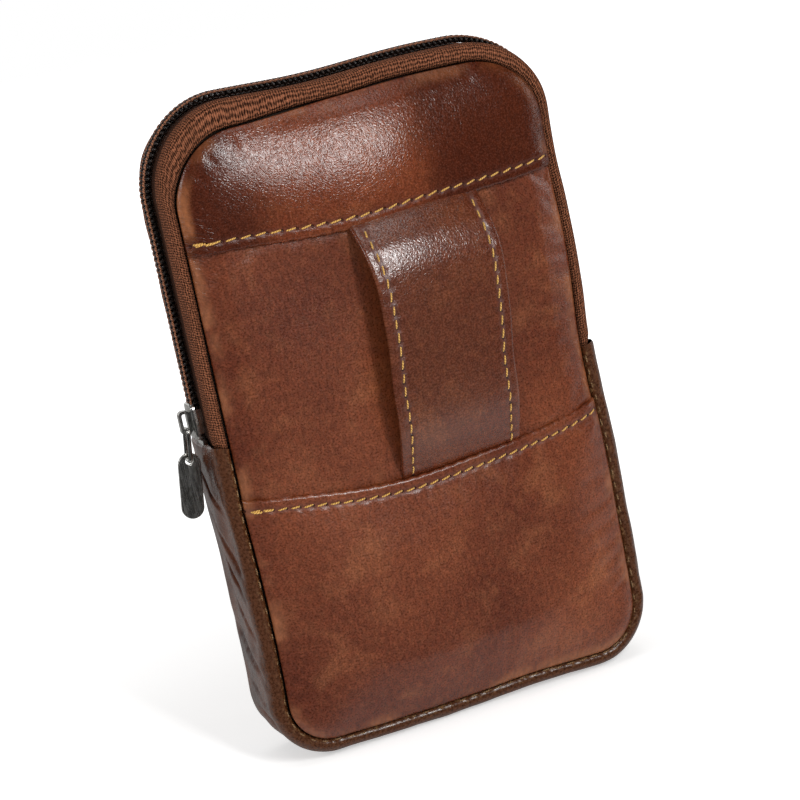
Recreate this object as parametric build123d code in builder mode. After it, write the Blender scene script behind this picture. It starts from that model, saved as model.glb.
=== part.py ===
"""Belt pouch: a flat vertical leather waist pack with a zip round its upper half and a belt loop on its back.

Frame, in millimetres: origin at the centre of the base, +Z up, +Y towards the wearer (the back, which carries
the belt loop), +X to the right of somebody who looks at the front.

The back is three leather panels (yoke, middle, lower) lapped at two seams; the belt loop's ends are caught in
those seams. Below the zip a dark leather gusset joins front and back, with a welt at each edge. Above it the
zip's two tapes do the same, and each tape ends in a soft roll beside its panel.
"""

import math
import os

from build123d import *

# Overall silhouette, measured over the zip chain and the gusset
WIDTH = 110.0
HEIGHT = 175.0
TOP_RADIUS = 23.0
BOTTOM_RADIUS = 17.0

# Materials' thicknesses
LEATHER = 1.2
LINING = 0.6
GAP = 0.1  # between pieces that only touch

# Panels: how far their edges sit inside the silhouette, and how far they stand from the mid-plane
PANEL_INSET = 4.5
PANEL_TOP_INSET = 6.0
PANEL_RIM_Y = 9.6
PANEL_CROWN_Y = 14.7
PANEL_EDGE_RADIUS = 3.4
MIDDLE_INSET = PANEL_INSET + LEATHER + GAP
MIDDLE_CROWN_Y = 12.4
MIDDLE_EDGE_RADIUS = 2.0

# Seams of the back, at the folded edge that is seen
LOWER_FOLD_Z = 74.0
YOKE_FOLD_Z = 138.0
LAP = 8.5  # how far the middle panel runs under its neighbours

# Padding and lining behind the panels
PADDING_INSET = MIDDLE_INSET + LEATHER + 1.0
PADDING_TOP_INSET = PADDING_INSET + 2.0
LINING_Y = PANEL_RIM_Y - GAP - LINING
POCKET_WIDTH = 84.0
POCKET_FLOOR_Z = 12.0
POCKET_HEIGHT = 84.0
BINDING_WIDTH = 5.0

# Gusset and welts
ZIP_END_Z = 88.0
GUSSET = 1.4
GUSSET_HALF_DEPTH = 7.4
WELT_INSET = 0.3
WELT_DEPTH = 4.1
WELT_RADIUS = 1.7

# Zip: tapes lie under the chain, and each ends in a roll beside its panel
TAPE_INSET = GUSSET + GAP
TAPE = 1.0
TAPE_TAIL = 8.0  # hidden under the gusset
TAPE_START_Y = 2.3
ROLL_START_Y = 7.0
ROLL_END_Y = 11.4
ROLL_RADIUS = 2.3
COIL_HEIGHT = 1.4
COIL_START_Y = 0.55
COIL_END_Y = 2.6
STOP_LENGTH = 1.4
COIL_START_Z = ZIP_END_Z + STOP_LENGTH + 0.6

# The front folds open about this line, on its outer face
FLAP_Z = 104.0
FLAP_GAP = 0.15

# Belt loop
LOOP_X = -8.0
LOOP_TOP_WIDTH = 36.0
LOOP_BOTTOM_WIDTH = 33.5
LOOP_STRAP = 1.3
LOOP_BACKING = 1.0
LOOP_CROWN_Z = 114.0
LOOP_CROWN_GAP = 8.8
LOOP_TANGENTS = [(0.42, 1), (-1, 0.35)]
LOOP_STEP = 1.3  # height of the strap's ends, where they turn under the seams
LOOP_TAIL = 6.0
LOOP_TAIL_THICKNESS = 0.9

# Slider, at its rest place above the end stop on the +X side
SLIDER_Z = COIL_START_Z + 0.3
SLIDER_LENGTH = 9.6
SLIDER_WIDTH = 7.6
SLIDER_NECK = 6.6
SLIDER_PLATE = 1.1
SLIDER_CLEARANCE = 0.3
FLANGE = 0.7
POST_WIDTH = 0.8
POST_LENGTH = 3.0
BRIDGE_WIDTH = 1.8
BRIDGE_LENGTH = 6.4
BRIDGE_HEIGHT = 2.9
BRIDGE_WALL = 0.8

# Pull: a wire link on the bridge, and a flat tab that hangs from it, drawn a little off the pouch's side
PULL_TILT = 8.0
LINK_WIRE = 1.1
LINK_INNER_WIDTH = 2.8
LINK_LENGTH = 8.2
TAB_WIDTH = 6.0
TAB_LENGTH = 17.4
TAB_THICKNESS = 1.2
TAB_HOLE_RADIUS = 1.1

HALF = WIDTH / 2
REACH = 300.0  # longer than the part, for cutting


def outline(inset, top_inset=None):
    """The filled silhouette, moved inward by inset, as a flat sketch with z drawn along local y."""
    half = HALF - inset
    bottom = inset
    top = HEIGHT - (inset if top_inset is None else top_inset)
    r_top = TOP_RADIUS - inset
    r_bottom = BOTTOM_RADIUS - inset
    with BuildSketch(Plane.XY) as shape:
        with BuildLine():
            Line((-half, bottom + r_bottom), (-half, top - r_top))
            CenterArc((-half + r_top, top - r_top), r_top, 90, 90)
            Line((-half + r_top, top), (half - r_top, top))
            CenterArc((half - r_top, top - r_top), r_top, 0, 90)
            Line((half, top - r_top), (half, bottom + r_bottom))
            CenterArc((half - r_bottom, bottom + r_bottom), r_bottom, 270, 90)
            Line((half - r_bottom, bottom), (-half + r_bottom, bottom))
            CenterArc((-half + r_bottom, bottom + r_bottom), r_bottom, 180, 90)
        make_face()
    return shape.sketch


def upright(y):
    """The XZ plane at depth y. A negative extrusion from it goes towards the back."""
    return Plane.XZ.offset(-y)


def plate(inset, top_inset, start_y, end_y):
    """The filled silhouette as a solid between two depths."""
    with BuildPart() as solid:
        with BuildSketch(upright(start_y)):
            add(outline(inset, top_inset))
        extrude(amount=start_y - end_y)
    return solid.part


def band(outer, inner, inner_top, start_y, end_y):
    """A strip that follows the silhouette, as a solid between two depths."""
    with BuildPart() as solid:
        with BuildSketch(upright(start_y)):
            add(outline(outer))
            add(outline(inner, inner_top), mode=Mode.SUBTRACT)
        extrude(amount=start_y - end_y)
    return solid.part


def keep_above(z):
    """Cuts off what lies below z in the part that is being made."""
    split(bisect_by=Plane.XY.offset(z), keep=Keep.TOP)


def keep_below(z):
    """Cuts off what lies above z in the part that is being made."""
    split(bisect_by=Plane.XY.offset(z), keep=Keep.BOTTOM)


def outer_rim(builder, y):
    """The edges that bound the face at depth y, on its outer side."""
    face = builder.faces().filter_by(Axis.Y).sort_by(lambda f: abs(f.center().Y - y))[0]
    return face.outer_wire().edges()


def panel(inset, crown_y, edge_radius):
    """A leather panel with its rim turned in, open towards the inside of the pouch."""
    with BuildPart() as shell:
        add(plate(inset, PANEL_TOP_INSET, PANEL_RIM_Y, crown_y))
        fillet(outer_rim(shell, crown_y), edge_radius)
        offset(amount=-LEATHER, openings=shell.faces().sort_by(Axis.Y)[0])
    return shell.part


def padding():
    """The filling that sits inside a panel."""
    return plate(PADDING_INSET, PADDING_TOP_INSET, PANEL_RIM_Y, PANEL_CROWN_Y - LEATHER - GAP)


def lining():
    """The cloth that closes a panel towards the inside of the pouch."""
    return plate(PANEL_INSET + GAP, PANEL_TOP_INSET + GAP, LINING_Y, LINING_Y + LINING)


def panel_pieces():
    """The three leather panels of the back."""
    with BuildPart() as back_yoke:
        add(panel(PANEL_INSET, PANEL_CROWN_Y, PANEL_EDGE_RADIUS))
        keep_above(YOKE_FOLD_Z)
    with BuildPart() as back_lower_panel:
        add(panel(PANEL_INSET, PANEL_CROWN_Y, PANEL_EDGE_RADIUS))
        keep_below(LOWER_FOLD_Z)
    with BuildPart() as back_middle_panel:
        add(panel(MIDDLE_INSET, MIDDLE_CROWN_Y, MIDDLE_EDGE_RADIUS))
        keep_above(LOWER_FOLD_Z - LAP)
        keep_below(YOKE_FOLD_Z + LAP)
    return {
        "back_yoke": back_yoke,
        "back_lower_panel": back_lower_panel,
        "back_middle_panel": back_middle_panel,
    }


def back_inside_pieces():
    """Padding, lining and slip pocket behind the back panels."""
    with BuildPart() as back_padding:
        add(padding())
        with BuildSketch(upright(MIDDLE_CROWN_Y - LEATHER - GAP)):
            with Locations((0, (LOWER_FOLD_Z + YOKE_FOLD_Z) / 2)):
                Rectangle(REACH, YOKE_FOLD_Z - LOWER_FOLD_Z + 2 * LAP + 0.4)
        extrude(amount=-REACH, mode=Mode.SUBTRACT)
    with BuildPart() as back_lining:
        add(lining())
    with BuildPart() as inner_slip_pocket:
        with BuildSketch(upright(LINING_Y - GAP - LINING)):
            with Locations((0, POCKET_FLOOR_Z + POCKET_HEIGHT / 2)):
                RectangleRounded(POCKET_WIDTH, POCKET_HEIGHT, 6)
        extrude(amount=-LINING)
    with BuildPart() as pocket_binding:
        with BuildSketch(upright(LINING_Y - 2 * GAP - 2 * LINING)):
            with Locations((0, POCKET_FLOOR_Z + POCKET_HEIGHT - BINDING_WIDTH / 2)):
                RectangleRounded(POCKET_WIDTH, BINDING_WIDTH, 0.8)
        extrude(amount=-LINING)
    return {
        "back_padding": back_padding,
        "back_lining": back_lining,
        "inner_slip_pocket": inner_slip_pocket,
        "pocket_binding": pocket_binding,
    }


def front_pieces():
    """The front: one leather panel, its padding and its lining, each cut at the fold line."""
    layers = {
        "panel": panel(PANEL_INSET, PANEL_CROWN_Y, PANEL_EDGE_RADIUS),
        "padding": padding(),
        "lining": lining(),
    }
    pieces = {}
    for name, layer in layers.items():
        with BuildPart() as lower:
            mirror(layer, about=Plane.XZ)
            keep_below(FLAP_Z - FLAP_GAP)
        with BuildPart() as upper:
            mirror(layer, about=Plane.XZ)
            keep_above(FLAP_Z + FLAP_GAP)
        pieces[f"front_lower_{name}"] = lower
        pieces[f"front_upper_{name}"] = upper
    return pieces


def gusset_pieces():
    """The dark leather strip round the lower half, its lining and the welts at its edges."""
    with BuildPart() as gusset:
        add(band(0, GUSSET, None, -GUSSET_HALF_DEPTH, GUSSET_HALF_DEPTH))
        keep_below(ZIP_END_Z)
    with BuildPart() as gusset_lining:
        add(band(GUSSET + GAP, GUSSET + GAP + LINING, None, -GUSSET_HALF_DEPTH, GUSSET_HALF_DEPTH))
        keep_below(ZIP_END_Z - TAPE_TAIL - GAP)
    welt_start = GUSSET_HALF_DEPTH + GAP
    with BuildPart() as back_welt:
        add(band(WELT_INSET, PANEL_INSET - GAP, None, welt_start, welt_start + WELT_DEPTH))
        fillet(outer_rim(back_welt, welt_start + WELT_DEPTH), WELT_RADIUS)
        keep_below(ZIP_END_Z)
    with BuildPart() as front_welt:
        mirror(back_welt.part, about=Plane.XZ)
    return {"gusset": gusset, "gusset_lining": gusset_lining, "back_welt": back_welt, "front_welt": front_welt}


def zip_pieces():
    """Tapes, coils and end stops. The front half is cut at the fold line."""
    with BuildPart() as tape_roll:
        add(band(TAPE_INSET, PANEL_INSET - GAP, PANEL_TOP_INSET - GAP, ROLL_START_Y, ROLL_END_Y))
        fillet(outer_rim(tape_roll, ROLL_END_Y), ROLL_RADIUS)
        keep_above(ZIP_END_Z + GAP)
    with BuildPart() as back_zip_tape:
        add(band(TAPE_INSET, TAPE_INSET + TAPE, None, TAPE_START_Y, ROLL_START_Y))
        keep_above(ZIP_END_Z - TAPE_TAIL)
        add(tape_roll.part)
    with BuildPart() as back_zip_coil:
        add(band(0, COIL_HEIGHT, None, COIL_START_Y, COIL_END_Y))
        keep_above(COIL_START_Z)
    pieces = {"back_zip_tape": back_zip_tape, "back_zip_coil": back_zip_coil}
    for name, whole in (("tape", back_zip_tape), ("coil", back_zip_coil)):
        with BuildPart() as ends:
            mirror(whole.part, about=Plane.XZ)
            keep_below(FLAP_Z - FLAP_GAP)
        with BuildPart() as upper:
            mirror(whole.part, about=Plane.XZ)
            keep_above(FLAP_Z + FLAP_GAP)
        pieces[f"front_zip_{name}_ends"] = ends
        pieces[f"front_zip_{name}"] = upper
    with BuildPart() as zip_stops:
        with Locations(
            (HALF - COIL_HEIGHT / 2, 0, ZIP_END_Z + 0.3 + STOP_LENGTH / 2),
            (-HALF + COIL_HEIGHT / 2, 0, ZIP_END_Z + 0.3 + STOP_LENGTH / 2),
        ):
            Box(COIL_HEIGHT - 0.1, 2 * COIL_END_Y, STOP_LENGTH)
        fillet(zip_stops.edges().filter_by(Axis.Z), 0.3)
    pieces["zip_stops"] = zip_stops
    return pieces


def bowed_strap(start, end):
    """A wide strap between two distances from the middle panel, bowed from the lower seam to the yoke."""
    seat = MIDDLE_CROWN_Y + GAP
    with BuildPart() as strap:
        with BuildSketch(Plane.YZ.offset(LOOP_X - LOOP_TOP_WIDTH)):
            with BuildLine():
                near = Spline(
                    (seat + start, LOWER_FOLD_Z + GAP),
                    (seat + LOOP_CROWN_GAP + start, LOOP_CROWN_Z),
                    (seat + start, YOKE_FOLD_Z - GAP),
                    tangents=LOOP_TANGENTS,
                )
                far = Spline(
                    (seat + end, LOWER_FOLD_Z + GAP),
                    (seat + LOOP_CROWN_GAP + end, LOOP_CROWN_Z),
                    (seat + end, YOKE_FOLD_Z - GAP),
                    tangents=LOOP_TANGENTS,
                )
                Line(near @ 0, far @ 0)
                Line(near @ 1, far @ 1)
            make_face()
        extrude(amount=2 * LOOP_TOP_WIDTH)
    return strap.part


def loop_outline(margin):
    """The belt loop seen from the back, with z drawn along local y. It tapers towards the base."""
    low = LOWER_FOLD_Z - LOOP_TAIL
    high = YOKE_FOLD_Z + LOOP_TAIL
    with BuildSketch(Plane.XY) as shape:
        with BuildLine():
            Polyline(
                (LOOP_X - LOOP_BOTTOM_WIDTH / 2 + margin, low),
                (LOOP_X + LOOP_BOTTOM_WIDTH / 2 - margin, low),
                (LOOP_X + LOOP_TOP_WIDTH / 2 - margin, high),
                (LOOP_X - LOOP_TOP_WIDTH / 2 + margin, high),
                close=True,
            )
        make_face()
    return shape.sketch


def loop_pieces():
    """The belt loop: a backing strip, and a leather strap whose skived tails lie under the two seams."""
    seat = MIDDLE_CROWN_Y + GAP
    strap_end = LOOP_BACKING + GAP / 2 + LOOP_STRAP
    with BuildPart() as belt_loop_backing:
        add(bowed_strap(0, LOOP_BACKING))
        with BuildSketch(upright(0)):
            add(loop_outline(0.4))
        extrude(amount=-REACH, mode=Mode.INTERSECT)
        keep_above(LOWER_FOLD_Z + LOOP_STEP + 2 * GAP)
        keep_below(YOKE_FOLD_Z - LOOP_STEP - 2 * GAP)
    with BuildPart() as belt_loop_strap:
        add(bowed_strap(LOOP_BACKING + GAP / 2, strap_end))
        with BuildSketch(Plane.YZ.offset(LOOP_X - LOOP_TOP_WIDTH)):
            for fold, away in ((LOWER_FOLD_Z, -1), (YOKE_FOLD_Z, 1)):
                with Locations((seat + strap_end / 2, fold - away * (GAP + LOOP_STEP / 2))):
                    Rectangle(strap_end, LOOP_STEP)
                with Locations((seat + LOOP_TAIL_THICKNESS / 2, fold + away * (LOOP_TAIL - 1) / 2)):
                    Rectangle(LOOP_TAIL_THICKNESS, LOOP_TAIL + 1)
        extrude(amount=2 * LOOP_TOP_WIDTH)
        with BuildSketch(upright(0)):
            add(loop_outline(0))
        extrude(amount=-REACH, mode=Mode.INTERSECT)
    return {"belt_loop_backing": belt_loop_backing, "belt_loop_strap": belt_loop_strap}


def slider_plate(x, thickness):
    """One plate of the slider: a shield that is wider at its lower, open end."""
    with BuildPart() as solid:
        with BuildSketch(Plane.YZ.offset(x)) as shield:
            with BuildLine():
                Polyline(
                    (-SLIDER_WIDTH / 2, SLIDER_Z),
                    (SLIDER_WIDTH / 2, SLIDER_Z),
                    (SLIDER_WIDTH / 2, SLIDER_Z + SLIDER_LENGTH * 0.45),
                    (SLIDER_NECK / 2, SLIDER_Z + SLIDER_LENGTH),
                    (-SLIDER_NECK / 2, SLIDER_Z + SLIDER_LENGTH),
                    (-SLIDER_WIDTH / 2, SLIDER_Z + SLIDER_LENGTH * 0.45),
                    close=True,
                )
            make_face()
            fillet(shield.vertices().group_by(Axis.Z)[0], 1.6)
            fillet(shield.vertices().group_by(Axis.Z)[-1], 1.2)
        extrude(amount=thickness)
    return solid.part


def slider_pieces():
    """The slider's body, and the bridge that carries the pull."""
    coil_top = HALF + SLIDER_CLEARANCE
    tape_top = HALF - TAPE_INSET + 0.2
    tape_under = HALF - TAPE_INSET - TAPE - 0.2
    flange_y = SLIDER_NECK / 2 - FLANGE / 2
    with BuildPart() as zip_slider_body:
        add(slider_plate(coil_top, SLIDER_PLATE))
        fillet(zip_slider_body.faces().sort_by(Axis.X)[-1].edges(), 0.5)
        add(slider_plate(tape_under - 0.2 - SLIDER_PLATE, SLIDER_PLATE))
        for low, high in ((tape_top, coil_top), (tape_under - 0.2, tape_under)):
            with BuildSketch(Plane.YZ.offset(low)):
                with Locations((-flange_y, SLIDER_Z + SLIDER_LENGTH / 2), (flange_y, SLIDER_Z + SLIDER_LENGTH / 2)):
                    Rectangle(FLANGE, SLIDER_LENGTH - 3.2)
            extrude(amount=high - low)
        with BuildSketch(Plane.YZ.offset(tape_under - 0.2)):
            with Locations((0, SLIDER_Z + 2.6)):
                RectangleRounded(POST_WIDTH, POST_LENGTH, 0.3)
        extrude(amount=coil_top - tape_under + 0.2)
    plate_top = coil_top + SLIDER_PLATE
    with BuildPart() as zip_slider_bridge:
        with BuildSketch(Plane.XZ.offset(-BRIDGE_WIDTH / 2)):
            with Locations((plate_top + BRIDGE_HEIGHT / 2 + 0.02, SLIDER_Z + SLIDER_LENGTH / 2)):
                RectangleRounded(BRIDGE_HEIGHT, BRIDGE_LENGTH, 1.2)
                RectangleRounded(
                    BRIDGE_HEIGHT - 2 * BRIDGE_WALL, BRIDGE_LENGTH - 2 * BRIDGE_WALL, 0.5, mode=Mode.SUBTRACT
                )
        extrude(amount=BRIDGE_WIDTH)
    return {"zip_slider_body": zip_slider_body, "zip_slider_bridge": zip_slider_bridge}


def pull_pieces():
    """The wire link through the bridge, and the tab that hangs from it."""
    bar_x = HALF + SLIDER_CLEARANCE + SLIDER_PLATE + BRIDGE_HEIGHT / 2 + 0.02
    bar_z = SLIDER_Z + SLIDER_LENGTH / 2 - BRIDGE_LENGTH / 2 + BRIDGE_WALL + LINK_WIRE / 2 + 0.1
    tilt = math.radians(PULL_TILT)
    down = Vector(math.sin(tilt), 0, -math.cos(tilt))
    out = Vector(math.cos(tilt), 0, math.sin(tilt))
    bar = Vector(bar_x, 0, bar_z)
    # In this plane local x is Y and local y runs up the pull, so the link hangs towards negative y
    link_plane = Plane(origin=bar, x_dir=(0, 1, 0), z_dir=out)
    half_width = (LINK_INNER_WIDTH + LINK_WIRE) / 2
    with BuildPart() as zip_pull_link:
        with BuildLine(link_plane) as wire:
            FilletPolyline(
                (half_width, 0),
                (half_width, -LINK_LENGTH),
                (-half_width, -LINK_LENGTH),
                (-half_width, 0),
                radius=0.9,
                close=True,
            )
        with BuildSketch(Plane(origin=wire.wires()[0] @ 0, z_dir=wire.wires()[0] % 0)):
            Circle(LINK_WIRE / 2)
        sweep(path=wire.wires()[0])
    hook = bar + down * LINK_LENGTH
    tab_plane = Plane(origin=hook - Vector(0, TAB_THICKNESS / 2, 0), x_dir=out, z_dir=(0, 1, 0))
    with BuildPart() as zip_pull_tab:
        with BuildSketch(tab_plane):
            with Locations((0, TAB_LENGTH / 2 - TAB_WIDTH / 3)):
                SlotOverall(TAB_LENGTH, TAB_WIDTH, rotation=90)
            Circle(TAB_HOLE_RADIUS, mode=Mode.SUBTRACT)
        extrude(amount=TAB_THICKNESS)
        fillet(zip_pull_tab.faces().filter_by(Axis.Y).edges(), 0.25)
    return {"zip_pull_link": zip_pull_link, "zip_pull_tab": zip_pull_tab}


def main():
    pieces = {
        **panel_pieces(),
        **back_inside_pieces(),
        **front_pieces(),
        **gusset_pieces(),
        **zip_pieces(),
        **loop_pieces(),
        **slider_pieces(),
        **pull_pieces(),
    }
    os.makedirs("parts", exist_ok=True)
    for name, piece in pieces.items():
        piece.part.label = name
        export_step(piece.part, f"parts/{name}.step")


main()
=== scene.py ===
"""Looks of the belt pouch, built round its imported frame. Lengths are millimetres until a mesh is made.

The row frame: +Z up, +Y out of the back that carries the belt loop, +X the side where the slider rests.
"""

import math

import bpy
import numpy as np
from mathutils import Matrix, Vector


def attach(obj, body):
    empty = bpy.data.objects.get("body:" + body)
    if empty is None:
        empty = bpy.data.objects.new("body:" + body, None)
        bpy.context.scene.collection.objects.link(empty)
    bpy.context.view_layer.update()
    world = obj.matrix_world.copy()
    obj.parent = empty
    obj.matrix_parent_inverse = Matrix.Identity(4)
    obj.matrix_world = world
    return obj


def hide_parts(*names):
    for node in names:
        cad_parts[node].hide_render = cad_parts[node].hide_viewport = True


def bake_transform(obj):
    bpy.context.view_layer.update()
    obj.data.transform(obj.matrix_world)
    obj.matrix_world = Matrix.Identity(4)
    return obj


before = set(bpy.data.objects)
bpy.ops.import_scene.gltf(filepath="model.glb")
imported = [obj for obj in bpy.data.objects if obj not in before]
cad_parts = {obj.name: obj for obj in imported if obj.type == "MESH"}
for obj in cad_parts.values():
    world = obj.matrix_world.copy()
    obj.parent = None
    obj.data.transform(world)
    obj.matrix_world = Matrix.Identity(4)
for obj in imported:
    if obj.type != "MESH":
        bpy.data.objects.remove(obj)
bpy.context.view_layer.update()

MM = 0.001

# Silhouette, as in the CAD source
HALF = 55.0
HEIGHT = 175.0
TOP_RADIUS = 23.0
BOTTOM_RADIUS = 17.0
ZIP_END_Z = 88.0

# Leather panels
GROOVE = 4.5  # inset of the panels' edge
GROOVE_TOP = 6.0
MIDDLE_GROOVE = 4.7
YOKE_FOLD = 138.0
LOWER_FOLD = 74.0
YOKE_SAG = 1.4
LOWER_SAG = 4.2
HEM_RADIUS = 0.85
STITCH_INSET = 2.9
YOKE_PITCH = 3.8
LOWER_PITCH = 3.35
LOOP_PITCH = 3.5
THREAD = 0.25

# Belt loop
LOOP_X = -8.0
LOOP_WIDTH_TOP = 37.0
LOOP_WIDTH_BOTTOM = 34.5


# ---------------------------------------------------------------- small maths


def smooth(low, high, value):
    """0 below low, 1 above high, smooth between."""
    t = np.clip((np.asarray(value, float) - low) / (high - low), 0, 1)
    return t * t * (3 - 2 * t)


def ripple(seed, wavelength, a, b, stretch=1.0, count=9):
    """Smooth irregular waves over (a, b), about -1 to 1. stretch above 1 lengthens them along a."""
    local = np.random.default_rng(seed)
    total = np.zeros(np.broadcast(a, b).shape)
    for _ in range(count):
        angle, phase = local.uniform(0, 2 * math.pi, 2)
        size = wavelength * local.uniform(0.7, 1.6)
        wave = np.cos(angle) * np.asarray(a) / stretch + np.sin(angle) * np.asarray(b)
        total += np.cos(2 * math.pi * wave / size + phase)
    return total / math.sqrt(count)


def normalise(v):
    return v / np.maximum(np.linalg.norm(v, axis=-1, keepdims=True), 1e-9)


def travelled(points):
    """Length along a line of points, up to each of them."""
    return np.concatenate([[0], np.cumsum(np.linalg.norm(np.diff(points, axis=0), axis=1))])


def cubic(u, gap, start, end, start_slope, end_slope):
    """A cubic between two values with slopes, at the share u of the gap between them."""
    return (
        (2 * u**3 - 3 * u**2 + 1) * start
        + (u**3 - 2 * u**2 + u) * gap * start_slope
        + (3 * u**2 - 2 * u**3) * end
        + (u**3 - u**2) * gap * end_slope
    )


def grown(rows, extra, first):
    """Rows with more of them before or after."""
    return np.concatenate([extra, rows] if first else [rows, extra])


def new_object(name, data):
    thing = bpy.data.objects.new(name, data)
    bpy.context.scene.collection.objects.link(thing)
    return thing


# ---------------------------------------------------------------- meshes

SLIDER_RUN = (84.0, 148.0)
SWELL_X = 8.0
BACK_SWELL = 5.4
FRONT_SWELL = 3.0
CORNER_DROP = 2.3
YOKE_SWELL = 2.0
YOKE_MIDDLE = (-8.0, 156.0)
YOKE_REACH = (24.0, 22.0)
FULL_TOP = 168.5  # the swell ends here at the top
FULL_HALF = HALF - GROOVE


def pillow(x, z):
    """Share of the filled pouch's swell: 0 at its edge, 1 at its fullest."""
    above = 1 - (1 - np.clip((FULL_TOP - z) / 29.0, 0, 1)) ** 1.2
    below = 1 - (1 - np.clip((z - GROOVE) / 36.0, 0, 1)) ** 2
    reach = np.where(x > SWELL_X, FULL_HALF - SWELL_X, FULL_HALF + SWELL_X)
    return (1 - np.clip(np.abs(x - SWELL_X) / reach, 0, 1) ** 2.0) * above * below


def settled(points):
    """Points of the new pouch, moved as in one that has been carried. The slider's run stays as it is."""
    points = np.asarray(points, float)
    x, y, z = points[..., 0], points[..., 1], points[..., 2]
    along = np.clip(z, *SLIDER_RUN)
    share = smooth(6, 26, np.hypot(x - HALF, z - along))
    dx = 0.40 * ripple(61, 52, z, 0.4 * y)
    dy = 0.45 * ripple(63, 64, x, z)
    dz = 0.45 * ripple(62, 40, x, 0.4 * y)
    dz = np.where(dz < 0, dz * smooth(2, 14, z), dz)
    swell = pillow(x, z) * (BACK_SWELL * smooth(6, 10, y) - FRONT_SWELL * smooth(6, 10, -y))
    inside = edge_distance(x, z, 0, 0)
    aside, above = (x - YOKE_MIDDLE[0]) / YOKE_REACH[0], (z - YOKE_MIDDLE[1]) / YOKE_REACH[1]
    swell = swell + YOKE_SWELL * np.exp(-(aside**2 + above**2)) * smooth(6, 10, y) * smooth(4.5, 11, inside)
    # The top corner on the slider's side is pulled down a little
    corner_share = smooth(1.6, 5, inside) * smooth(30, 8, inside) * smooth(4, 36, x) * smooth(140, 160, z)
    return points + np.stack([dx * share, dy * share + swell, dz * share - CORNER_DROP * corner_share], -1)


def make_mesh(name, points, faces, layers=None, floats=None, material=None):
    """A smooth-shaded mesh. layers are UVs and floats are values, one for each point."""
    mesh = bpy.data.meshes.new(name)
    mesh.from_pydata((settled(points) * MM).tolist(), [], [tuple(int(i) for i in f) for f in faces])
    mesh.update()
    corner = np.zeros(len(mesh.loops), np.int64)
    mesh.loops.foreach_get("vertex_index", corner)
    for layer, uv in (layers or {}).items():
        data = mesh.uv_layers.new(name=layer)
        data.data.foreach_set("uv", np.asarray(uv, np.float32)[corner].ravel())
    for key, values in (floats or {}).items():
        attribute = mesh.attributes.new(key, "FLOAT", "POINT")
        attribute.data.foreach_set("value", np.asarray(values, np.float32))
    mesh.polygons.foreach_set("use_smooth", [True] * len(mesh.polygons))
    piece = new_object(name, mesh)
    if material:
        mesh.materials.append(material)
    return piece


def grid_faces(rows, cols, wrap=False, flip=False, start=0):
    """Quads of a rows by cols grid of points. wrap joins the last column to the first."""
    r, c = np.meshgrid(np.arange(rows - 1), np.arange(cols if wrap else cols - 1), indexing="ij")
    nxt = (c + 1) % cols
    quads = np.stack([r * cols + c, r * cols + nxt, (r + 1) * cols + nxt, (r + 1) * cols + c], -1)
    quads = quads.reshape(-1, 4)
    return (quads[:, ::-1] if flip else quads) + start


def grid_mesh(name, points, layers=None, floats=None, material=None, wrap=False, flip=False):
    """A mesh from a grid of points shaped rows, columns, 3."""
    rows, cols = points.shape[:2]
    flat_layers = {k: v.reshape(-1, 2) for k, v in (layers or {}).items()}
    flat_floats = {k: v.reshape(-1) for k, v in (floats or {}).items()}
    faces = grid_faces(rows, cols, wrap, flip)
    return make_mesh(name, points.reshape(-1, 3), faces, flat_layers, flat_floats, material)


def tubes(name, lines, radius, material, sides=6, closed_ends=True):
    """One mesh of round tubes along lines of points. radius may be a function of the share of the way."""
    points, faces, uvs, start = [], [], [], 0
    ring = np.linspace(0, 2 * math.pi, sides, endpoint=False)
    for line in lines:
        line = np.asarray(line, float)
        tangent = normalise(np.gradient(line, axis=0))
        normal = np.zeros_like(line)
        side = np.cross(tangent[0], (0.31, 0.52, 0.79))
        for i, t in enumerate(tangent):
            side = side - t * side.dot(t)
            side = side / np.linalg.norm(side)
            normal[i] = side
        other = np.cross(tangent, normal)
        way = travelled(line)
        share = way / max(way[-1], 1e-9)
        r = np.array([radius(s) for s in share]) if callable(radius) else np.full(len(line), radius)
        circle = np.cos(ring)[None, :, None] * normal[:, None] + np.sin(ring)[None, :, None] * other[:, None]
        tube = line[:, None] + circle * r[:, None, None]
        points.append(tube.reshape(-1, 3))
        faces.extend(grid_faces(len(line), sides, wrap=True, start=start).tolist())
        if closed_ends:
            faces.append(list(range(start + sides - 1, start - 1, -1)))
            last = start + (len(line) - 1) * sides
            faces.append(list(range(last, last + sides)))
        uv = np.stack(np.broadcast_arrays(way[:, None], ring[None, :]), -1)
        uvs.append(uv.reshape(-1, 2))
        start += len(line) * sides
    return make_mesh(name, np.concatenate(points), faces, {"flat": np.concatenate(uvs)}, None, material)


# ---------------------------------------------------------------- the silhouette as a path

CORNER_TOP = TOP_RADIUS * math.pi / 2
CORNER_BOTTOM = BOTTOM_RADIUS * math.pi / 2
BASE = HALF - BOTTOM_RADIUS
SIDE = HEIGHT - TOP_RADIUS - BOTTOM_RADIUS
TOP = 2 * (HALF - TOP_RADIUS)
LENGTHS = np.array([BASE, CORNER_BOTTOM, SIDE, CORNER_TOP, TOP, CORNER_TOP, SIDE, CORNER_BOTTOM, BASE])
STARTS = np.concatenate([[0], np.cumsum(LENGTHS)])
AROUND = STARTS[-1]


def on_side(z):
    """Place along the path of height z on the +X side."""
    return STARTS[2] + z - BOTTOM_RADIUS


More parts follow.
